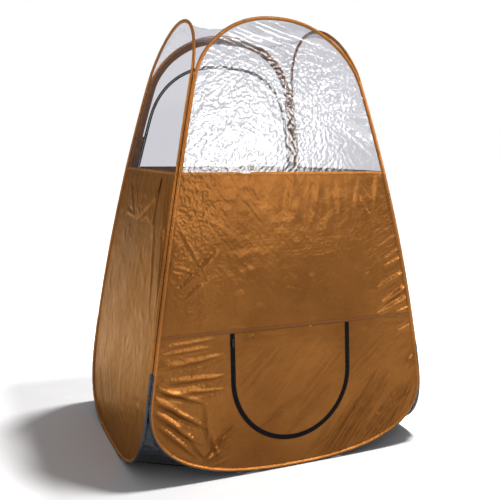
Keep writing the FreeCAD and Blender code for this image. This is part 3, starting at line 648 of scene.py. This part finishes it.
def cloth_of(wall, *limits):
    """A wall's cloth, just into its hoop's sleeve, within limits that are signed distances."""
    edge = WALLS[wall][1].shrunk(CLOTH_INSET)

    def region(a, z):
        d = edge.distance(a, z)
        for limit in limits:
            d = np.maximum(d, limit(a, z))
        return d
    return region


def cloth(wall):
    return lambda a, z: cloth_relief(wall, a, z)


def vinyl(wall):
    return lambda a, z: film_relief(wall, a, z)


def outside_vent(a, z):
    return np.minimum(ZIP_HALF - vent_distance(a, z), VENT_HINGE + HINGE_GAP - z)


def above_sill(a, z):
    return above(z, SILL)


def below_sill(a, z):
    return below(z, SILL)


region_sheet("front_window_film", "front", cloth_of("front", above_sill), (-0.52, 0.52, SILL, 2.0),
             vinyl("front"), FRONT_FILM, "cabin", ["front_window"], step=FINE_STEP)
region_sheet("front_upper_cloth", "front", cloth_of("front", below_sill, lambda a, z: above(z, SEAM)),
             (-0.70, 0.70, SEAM, SILL), cloth("front"), BRONZE, "cabin",
             ["front_upper_panel"], step=FINE_STEP)
region_sheet("front_lower_cloth", "front",
             cloth_of("front", lambda a, z: below(z, SEAM), outside_vent),
             (-0.72, 0.72, 0.0, SEAM), cloth("front"), BRONZE, "cabin",
             ["front_lower_panel"], step=FINE_STEP)
region_sheet("vent_flap_cloth", "front",
             lambda a, z: np.maximum(vent_distance(a, z) + ZIP_HALF, below(z, VENT_HINGE - HINGE_GAP)),
             (-0.31, 0.29, 0.12, 0.632), cloth("front"), BRONZE, "vent_flap",
             ["vent_flap"], step=FINE_STEP)

for wall in ("left", "right"):
    region_sheet(f"{wall}_window_film", wall, cloth_of(wall, above_sill), (-0.46, 0.46, SILL, 2.0),
                 vinyl(wall), SIDE_FILM, "cabin", [f"{wall}_window"])
    region_sheet(f"{wall}_cloth", wall, cloth_of(wall, below_sill), (-0.60, 0.60, 0.0, SILL),
                 cloth(wall), BRONZE, "cabin", [f"{wall}_panel"])


def door_outside(a, z):
    return ZIP_HALF - DOOR_ZIP.distance(a, z)


def door_inside(a, z):
    return DOOR_ZIP.distance(a, z) + ZIP_HALF


ARCH_BAND = FRONT_HOOP.shrunk(0.036)
region_sheet("back_film", "back",
             cloth_of("back", door_outside, lambda a, z: above(z, BAND_FOOT), ARCH_BAND.distance),
             (-0.52, 0.52, 1.46, 2.0), vinyl("back"), SIDE_FILM, "cabin",
             ["back_window_surround"])
# painted shade: the arch band takes the darker seam bronze, standing for the unlit inside face seen through
# the windows
region_sheet("back_arch_cloth", "back",
             cloth_of("back", lambda a, z: above(z, BAND_FOOT), lambda a, z: -ARCH_BAND.distance(a, z)),
             (-0.54, 0.54, 1.46, 2.0), cloth("back"), BRONZE_SEAM_AND_SHADE, "cabin",
             ["back_arch_band"], step=3 * MM)
for side, sign in (("left", -1), ("right", 1)):
    region_sheet(f"back_{side}_cloth", "back",
                 cloth_of("back", door_outside, lambda a, z: below(z, BAND_FOOT + 2 * MM),
                          lambda a, z: above(z, DOOR_HINGE), lambda a, z: -sign * a),
                 (-0.72, 0.72, DOOR_HINGE, 1.475), cloth("back"), BRONZE, "cabin",
                 [f"back_{side}_panel"])
region_sheet("back_sill_cloth", "back", cloth_of("back", lambda a, z: below(z, DOOR_HINGE - HINGE_GAP)),
             (-0.72, 0.72, 0.0, DOOR_HINGE), cloth("back"), BRONZE, "cabin",
             ["back_sill_panel"])
region_sheet("door_cloth", "back",
             lambda a, z: np.maximum(np.maximum(door_inside(a, z), below(z, SILL)),
                                     above(z, DOOR_HINGE + HINGE_GAP)),
             (-0.68, 0.68, DOOR_HINGE, SILL), cloth("back"), BRONZE, "door",
             ["door_panel"])
region_sheet("door_film", "back", lambda a, z: np.maximum(door_inside(a, z), above(z, SILL)),
             (-0.50, 0.50, SILL, 1.85), vinyl("back"), SIDE_FILM, "door",
             ["door_window"])

# Hems and the seam: narrow strips laid on the cloth

def hem(name, wall, half, body, nodes, z=SILL, paint=BRONZE_BINDING):
    strip_sheet(name, wall, level_line(half, z), (6 * MM, -6 * MM), 0, paint, body, nodes,
                columns=7, puff=0.5 * MM)


for wall in ("front", "left", "right"):
    half = float(WALLS[wall][1].half_width(SILL)) - 5 * MM
    hem(f"{wall}_window_hem_strip", wall, half, "cabin", [f"{wall}_window_hem"])
hem("door_window_hem_strip", "back", float(DOOR_ZIP.half_width(SILL)) - 11 * MM, "door", ["door_window_hem"])
hem("front_seam_strip", "front", float(FRONT_HOOP.half_width(SEAM)) - 5 * MM, "cabin", ["front_seam_band"],
    z=SEAM, paint=BRONZE_SEAM_AND_SHADE)

# Zips: tapes, and the turns of each coil

vent_top = VENT_HINGE - 0.8 * MM
vent_turn = np.linspace(math.pi, 2 * math.pi, 90)
vent_foot = np.column_stack([VENT_MIDDLE + VENT_RADIUS * np.cos(vent_turn),
                             VENT_BEND + VENT_RADIUS * np.sin(vent_turn)])
VENT_LINE = resampled(np.vstack([[[VENT_MIDDLE - VENT_RADIUS, vent_top]], vent_foot,
                                 [[VENT_MIDDLE + VENT_RADIUS, vent_top]]]), STRIP_STEP)
door_points = DOOR_ZIP.line(720)
door_rising = door_points[:len(door_points) // 2 + 1]
door_rising = door_rising[door_rising[:, 1] > DOOR_HINGE + 13 * MM]
DOOR_LINE = resampled(np.vstack([door_rising, (door_rising * [-1, 1])[-2::-1]]), STRIP_STEP)


def coil_turns(name, wall, line, offset, body, node):
    """The turns of a zip's coil: one small bar after another across the coil's width."""
    line = resampled(line, 2.5 * MM)
    tangent, side = along_and_right(line)
    half_bar = 0.8 * MM
    corners = []
    for spread in (offset, offset + math.copysign(2.8 * MM, offset)):
        for run in (-half_bar, half_bar):
            point = line + side * spread + tangent * run
            relief = cloth_relief(wall, point[:, 0], point[:, 1])
            for height in (-0.6 * MM, 0.55 * MM):
                corners.append(on_wall(wall, point[:, 0], point[:, 1], height + relief))
    verts = np.stack(corners, 1)
    cube = np.array([[0, 1, 3, 2], [4, 6, 7, 5], [0, 4, 5, 1], [2, 3, 7, 6], [0, 2, 6, 4], [1, 5, 7, 3]])
    faces = (np.arange(len(line))[:, None, None] * 8 + cube).reshape(-1, 4)
    mesh_piece(name, verts, faces, COIL, body, [node], smooth_shading=False)


for zip_name, wall, line, width, flap in (("vent", "front", VENT_LINE, 10.5 * MM, "vent_flap"),
                                          ("door", "back", DOOR_LINE, 8.5 * MM, "door")):
    # distances are to the right of the way the line runs
    for half_name, sign, body in (("fixed", 1, "cabin"), ("moving", -1, flap)):
        strip_sheet(f"{zip_name}_{half_name}_tape", wall, line, (sign * 0.3 * MM, sign * width), TAPE_LAYER,
                    TAPE, body, [f"{zip_name}_zip_tape_{half_name}"])
        coil_turns(f"{zip_name}_{half_name}_coil", wall, line, sign * 1.2 * MM, body,
                   f"{zip_name}_zip_coil_{half_name}")

# Pocket on the left wall

POCKET = (-0.24, 0.28, 1.070, 1.283)       # its sides, foot and top
FLAP = (-0.24, 0.28, 1.221, 1.283)
FLAP_TAPE = (-0.01, 0.05, 1.231, 1.251)


def pocket_relief(a, z):
    """A loose patch: slack in the middle, held round its edge, crumpled."""
    left, right, foot, top = POCKET
    half_width, half_height = (right - left) / 2, (top - foot) / 2
    u = np.clip((a - (left + right) / 2) / half_width, -1, 1)
    v = np.clip((z - (foot + top) / 2) / half_height, -1, 1)
    from_side = np.clip((1 - np.abs(u)) * half_width / 0.02, 0, 1)
    from_foot = np.clip((1 - np.abs(v)) * half_height / 0.02, 0, 1)
    edge = np.sqrt(from_side * from_foot)
    loose = 0.004 * (1 - u ** 2) * (1 - v ** 2)
    creases = (fold(a, z, (-0.20, 1.20), (0.02, 1.09), 0.012, 0.0020)
               + fold(a, z, (0.26, 1.22), (0.10, 1.08), 0.012, 0.0018)
               + fold(a, z, (0.27, 1.10), (0.10, 1.09), 0.009, 0.0014)
               + fold(a, z, (0.15, 1.23), (0.05, 1.12), 0.008, 0.0014))
    return cloth_relief("left", a, z) + 0.0018 + edge * (loose + 0.0014 * crumpled(a, z, 0.05, 71) + creases)


def flap_relief(a, z):
    below_hinge = np.clip((FLAP[3] - z) / (FLAP[3] - FLAP[2]), 0, 1)
    return pocket_relief(a, z) + 0.0026 + (0.0008 + 0.0006 * crumpled(a, z, 0.055, 72)) * below_hinge


def box_region(a0, a1, z0, z1, round_by=0.006):
    def region(a, z):
        da = np.abs(a - (a0 + a1) / 2) - (a1 - a0) / 2 + round_by
        dz = np.abs(z - (z0 + z1) / 2) - (z1 - z0) / 2 + round_by
        return np.hypot(np.maximum(da, 0), np.maximum(dz, 0)) + np.minimum(np.maximum(da, dz), 0) - round_by
    return region


region_sheet("pocket_patch_cloth", "left", box_region(*POCKET), (-0.245, 0.285, 1.065, 1.29), pocket_relief,
             BRONZE, "cabin", ["pocket_patch"], step=3 * MM)
region_sheet("pocket_flap_cloth", "left", box_region(*FLAP), (-0.245, 0.285, 1.215, 1.29), flap_relief,
             BRONZE, "pocket_flap", ["pocket_flap"], step=2.5 * MM)
for strip, body, relief in (("loop", "cabin", lambda a, z: pocket_relief(a, z) + 0.8 * MM),
                            ("hook", "pocket_flap", lambda a, z: flap_relief(a, z) - 0.7 * MM)):
    region_sheet(f"pocket_{strip}_tape", "left", box_region(*FLAP_TAPE, 0.002), (-0.012, 0.052, 1.229, 1.253),
                 relief, HOOK_LOOP, body, [f"pocket_{strip}_strip"], step=2 * MM)

# Hoop sleeves, and the black cloth over their feet

def across_wire(wall, centre, tangent):
    """At each point of a wire, the two directions across it: to the cabin's middle, and out of the wall."""
    out = WALLS[wall][2]
    lean = np.array([out[0], out[1], 0.1])
    outward = unit(lean - tangent * (tangent @ lean)[:, None])
    inward = np.cross(tangent, outward)
    to_middle = np.array([0, 0, 1.0]) - centre
    return inward * np.sign((inward * to_middle).sum(1))[:, None], outward


def wrapped(centre, inward, outward, turns, reach):
    """Points round a wire, at turns from inward by way of outward, each turn with its own reach."""
    return np.stack([centre + reach(turn)[:, None] * (math.cos(turn) * inward + math.sin(turn) * outward)
                     for turn in turns], 1)


def sleeve(wall):
    """A strip of cloth folded round a hoop's wire, its two edges stitched to the wall."""
    outline = WALLS[wall][1].line(720)
    line = resampled(np.vstack([outline, outline[:1]]), STRIP_STEP)[:-1]
    centre = on_wall(wall, line[:, 0], line[:, 1], CLOTH_LAYER)
    inward, outward = across_wire(wall, centre, unit(np.roll(centre, -1, 0) - np.roll(centre, 1, 0)))
    count = len(line)
    share = np.arange(count) / count

    def reach(turn):
        wide = 7.1 * MM + 0.35 * MM * noise(share * 220, np.full(count, turn * 0.8), 31 + len(wall))
        wide = wide + 0.25 * MM * creased(share * 400, np.full(count, turn * 0.5), 51 + len(wall))
        return wide + 2.2 * MM * np.exp(-(min(turn, 2 * math.pi - turn) / 0.30) ** 2)

    verts = wrapped(centre, inward, outward, np.linspace(0.06, 2 * math.pi - 0.06, 19), reach)
    index = np.arange(verts.shape[0] * verts.shape[1]).reshape(verts.shape[:2])
    following = np.roll(index, -1, 0)
    faces = np.stack([index[:, :-1], following[:, :-1], following[:, 1:], index[:, 1:]], -1)
    mesh_piece(f"{wall}_hoop_binding", verts, faces, BRONZE_BINDING, "cabin",
               [f"hoop_sleeve_{wall}"])


def black_edge(wall):
    """The black cloth of the floor and gussets, wrapped over the outer side of a hoop's foot."""
    points = WALLS[wall][1].line(720)
    rising = points[:len(points) // 2]
    rising = rising[rising[:, 1] < 0.50]
    line = resampled(np.vstack([(rising * [-1, 1])[:0:-1], rising]), STRIP_STEP)
    centre = on_wall(wall, line[:, 0], line[:, 1], CLOTH_LAYER)
    inward, outward = across_wire(wall, centre, unit(np.gradient(centre, axis=0)))
    run = np.arange(len(line)) * STRIP_STEP

    def reach(turn):
        return 8.3 * MM + 0.9 * MM * creased(run / 0.02, np.full(len(run), turn * 1.2), 81 + len(wall))

    turns = np.linspace(math.radians(108), math.radians(235), 9)
    verts = wrapped(centre, inward, outward, turns, reach)
    verts[..., 2] = np.maximum(verts[..., 2], 0.3 * MM)
    mesh_piece(f"{wall}_black_edge", verts, grid_faces(*verts.shape[:2]), BLACK, "cabin",
               [])


for wall in WALLS:
    sleeve(wall)
for wall in WALLS:
    black_edge(wall)

# Floor, gussets and roof

LOW = 0.018                # where a gusset turns into the floor
GUSSET_TOP = 0.305
floor_x = float(SIDE.reach(0.0)) - 0.009
floor_y = float(FRONT.reach(0.0)) - 0.009
cut_x = float(FRONT_HOOP.half_width(LOW))
cut_y = float(SIDE_HOOP.half_width(LOW))


def floor_region(x, y):
    """Signed distance to the edge of a rectangle with its corners cut off."""
    normal_x, normal_y = floor_y - cut_y, floor_x - cut_x
    corner = (np.abs(x) - cut_x) * normal_x + (np.abs(y) - floor_y) * normal_y
    corner = corner / math.hypot(normal_x, normal_y)
    return np.maximum(np.maximum(np.abs(x) - floor_x, np.abs(y) - floor_y), corner)


def floor_sheet():
    step = 7 * MM
    x, y = np.meshgrid(np.arange(-floor_x, floor_x + step, step), np.arange(-floor_y, floor_y + step, step),
                       indexing="ij")
    x, y, faces = cut_out(x, y, floor_region, step)
    crumple = 1 + np.clip(crumpled(x, y, 0.11, 90), -1, 1)
    rise = 0.0022 + 0.0016 * crumple * smooth(-floor_region(x, y), 0, 0.05)
    mesh_piece("floor_cloth", np.column_stack([x, y, rise]), faces, BLACK, "cabin",
               ["floor_sheet"])


floor_sheet()


def gusset(front_or_back, side_y, left_or_right, side_x):
    """A crinkled web between two hoops, from its top edge down to the floor."""
    rows, columns, foot_rows = 64, 64, 4
    foot = 3.5 * MM
    row = np.arange(rows + 1)
    drop = np.sin(math.pi / 2 * np.clip(row / (rows - foot_rows), 0, 1))
    z = GUSSET_TOP - drop * (GUSSET_TOP - LOW)
    last = np.clip((row - (rows - foot_rows)) / foot_rows, 0, 1)
    start = np.stack([side_x * FRONT_HOOP.half_width(z), side_y * (FRONT.reach(z) + CLOTH_LAYER), z], -1)
    end = np.stack([side_x * (SIDE.reach(z) + CLOTH_LAYER), side_y * SIDE_HOOP.half_width(z), z], -1)
    for line in (start, end):
        line[:, 2] = line[:, 2] * (1 - last) + foot * last
    t = np.linspace(0, 1, columns + 1)[None, :, None]
    inward = np.array([-side_x, -side_y, 0]) / math.sqrt(2)
    grid = start[:, None] * (1 - t) + end[:, None] * t
    width = np.linalg.norm(end - start, axis=1)
    across = (t[0, :, 0][None] - 0.5) * width[:, None]
    seed = 300 + 10 * (side_x + 1) + (side_y + 1)
    relief = 4.2 * MM * crumpled(across, grid[..., 2] * 1.6, 0.045, seed)
    hold = np.sin(math.pi * t[..., 0]) ** 0.5
    sag = 0.012 * hold * np.sin(math.pi * np.clip(grid[..., 2] / GUSSET_TOP, 0, 1))
    verts = grid + ((relief * hold + sag + 0.006)[..., None]) * inward
    faces = grid_faces(rows + 1, columns + 1).reshape(-1, 4)
    mesh_piece(f"gusset_{front_or_back}_{left_or_right}_cloth", verts, faces, BLACK, "cabin",
               [f"corner_gusset_{front_or_back}_{left_or_right}"])


for front_or_back, side_y in (("front", -1), ("back", 1)):
    for left_or_right, side_x in (("left", -1), ("right", 1)):
        gusset(front_or_back, side_y, left_or_right, side_x)


def roof():
    """A crinkled sheet drawn between the four arches."""
    count = 150
    part = np.sin(math.pi / 2 * np.linspace(-1, 1, count))
    u, v = np.meshgrid(part, part, indexing="ij")
    like_front = (1 + v ** 2 - u ** 2) / 2
    apex = like_front * FRONT_HOOP.apex + (1 - like_front) * SIDE_HOOP.apex
    power = like_front * FRONT_HOOP.arch_power + (1 - like_front) * SIDE_HOOP.arch_power
    corner = (FRONT_HOOP.shoulder + SIDE_HOOP.shoulder) / 2
    from_middle = np.clip(np.abs(u) + np.abs(v) - 1, 0, 1)
    arch = (1 - from_middle ** power) ** (1 / power)
    dip = 0.30 * np.clip((1 - u ** 2) * (1 - v ** 2), 0, 1) ** 0.6
    z = corner + (arch - dip) * (apex - corner)
    x = u * (SIDE.reach(z) - 11.5 * MM)
    y = v * (FRONT.reach(z) - 11.5 * MM)
    hold = np.sqrt(np.clip((1 - np.abs(u)) * 12, 0, 1) * np.clip((1 - np.abs(v)) * 12, 0, 1))
    relief = 0.0016 * crumpled(x, y, 0.05, 500) + 0.0022 * streaks(x, y, 38, 0.3, 0.05, 501)
    z = z + hold * relief
    verts = np.stack([x, y, z], -1).reshape(-1, 3)
    faces = grid_faces(count, count).reshape(-1, 4)
    mesh_piece("roof_vinyl", verts, faces, ROOF_FILM, "cabin", ["roof_film"])


roof()

# Small hard parts keep their CAD shape and take a finish
for name, node in frame["nodes"].items():
    paint = None
    if name.startswith("hoop_wire"):
        paint = STEEL
    elif name.startswith("hoop_ferrule"):
        paint = CRIMP
    elif name.endswith(("slider", "pull")):
        paint = METAL
    if paint:
        node.data.materials.clear()
        node.data.materials.append(paint)

# Stage, light and camera

bpy.ops.mesh.primitive_plane_add(size=60, location=(0, 0, -0.0005))
ground = bpy.context.object
ground.name = "studio_floor"
paint, tree, out = material("studio_white")
shader = add(tree, "BsdfDiffuse", Color=(0.84, 0.832, 0.834, 1))
# painted light: the floor glows, from nothing at 1.45 m from the middle up to 0.9 at 2.6 m, so the far floor
# stays white where the floor lamps fall off
painted_floor_glow = add(tree, "Emission", Color=(1, 1, 1, 1))
coords = add(tree, "TexCoord")
far = add(tree, "VectorMath", Operation="LENGTH")
link(tree, coords, "Object", far, 0)
fade = add(tree, "MapRange", **{"From Min": 1.45, "From Max": 2.6, "To Max": 0.9})
link(tree, far, "Value", fade, "Value")
link(tree, fade, "Result", painted_floor_glow, "Strength")
both = add(tree, "AddShader")
link(tree, shader, "BSDF", both, 0)
link(tree, painted_floor_glow, "Emission", both, 1)
link(tree, both, "Shader", out, "Surface")
ground.data.materials.append(paint)

world = bpy.data.worlds.new("studio")
bpy.context.scene.world = world
world.use_nodes = True
tree = world.node_tree
tree.nodes.clear()
sky = add(tree, "Background", Color=(0.97, 0.98, 1.0, 1), Strength=0.30)
seen = add(tree, "Background", Color=(1, 1, 1, 1), Strength=1.0)
path = add(tree, "LightPath")
mix = add(tree, "MixShader")
out = add(tree, "OutputWorld")
link(tree, path, "Is Camera Ray", mix, 0)
link(tree, sky, 0, mix, 1)
link(tree, seen, 0, mix, 2)
link(tree, mix, 0, out, 0)


def lamp(name, kind, place, towards, power, **extra):
    data = bpy.data.lights.new(name, kind)
    data.energy = power
    for key, value in extra.items():
        setattr(data, key, value)
    made = bpy.data.objects.new(name, data)
    bpy.context.collection.objects.link(made)
    made.location = place
    made.rotation_mode = "QUATERNION"
    made.rotation_quaternion = (Vector(towards) - Vector(place)).to_track_quat("-Z", "Y")
    made.visible_camera = False
    return made


floor_lights = (
    lamp("floor_light_near", "AREA", (0.80, 0.50, 4.0), (0, 0, 0), 165, shape="DISK", size=0.5),
    lamp("floor_light_far", "AREA", (0.90, -0.90, 4.0), (0, 0, 0), 180, shape="DISK", size=0.6),
)
cabin_lights = (
    lamp("key", "SUN", (4.4, -3.4, 8), (0, 0, 0), 2.35, angle=math.radians(8), color=(1, 0.98, 0.95)),
    lamp("softbox", "AREA", (1.30, -4.1, 2.72), (-0.25, -0.45, 1.45), 80, shape="RECTANGLE",
         size=1.4, size_y=1.9),
    lamp("side", "AREA", (4.6, -2.6, 3.4), (0, -0.5, 0.8), 250, shape="RECTANGLE", size=1.4, size_y=1.4),
    lamp("fill", "AREA", (-3.6, -1.2, 3.8), (-0.4, 0, 1.7), 150, shape="RECTANGLE", size=1.6, size_y=1.6,
         color=(1, 0.93, 0.84)),
)
# the floor lights light only the floor, and the cabin lights only the cabin
lit = bpy.data.collections.new("lit_by_cabin_lights")
for piece in bpy.context.scene.objects:
    if piece.type == "MESH" and piece != ground:
        lit.objects.link(piece)
for light in cabin_lights:
    light.light_linking.receiver_collection = lit
floor_only = bpy.data.collections.new("lit_by_floor_light")
floor_only.objects.link(ground)
# clear film throws next to no shadow
opaque = bpy.data.collections.new("shading_the_floor")
for piece in lit.objects:
    if "film" not in piece.name and "vinyl" not in piece.name:
        opaque.objects.link(piece)
for light in floor_lights:
    light.light_linking.receiver_collection = floor_only
    light.light_linking.blocker_collection = opaque

# The camera's place and angles were fitted to the photo
camera_place = (-1.387, -3.234, 1.416)
yaw, pitch, roll = math.radians(23.42), math.radians(-8.28), 0.0091
forward = Vector((math.sin(yaw) * math.cos(pitch), math.cos(yaw) * math.cos(pitch), math.sin(pitch)))
right = Vector((math.cos(yaw), -math.sin(yaw), 0))
up = right.cross(forward)
turned_right = right * math.cos(roll) + up * math.sin(roll)
turned_up = up * math.cos(roll) - right * math.sin(roll)
camera_data = bpy.data.cameras.new("camera")
camera_data.sensor_width = 36
camera_data.lens = 50.27
camera = bpy.data.objects.new("camera", camera_data)
bpy.context.collection.objects.link(camera)
turn = Matrix((turned_right, turned_up, -forward)).transposed()
camera.matrix_world = Matrix.Translation(camera_place) @ turn.to_4x4()
bpy.context.scene.camera = camera

bpy.context.scene.view_settings.view_transform = "Standard"
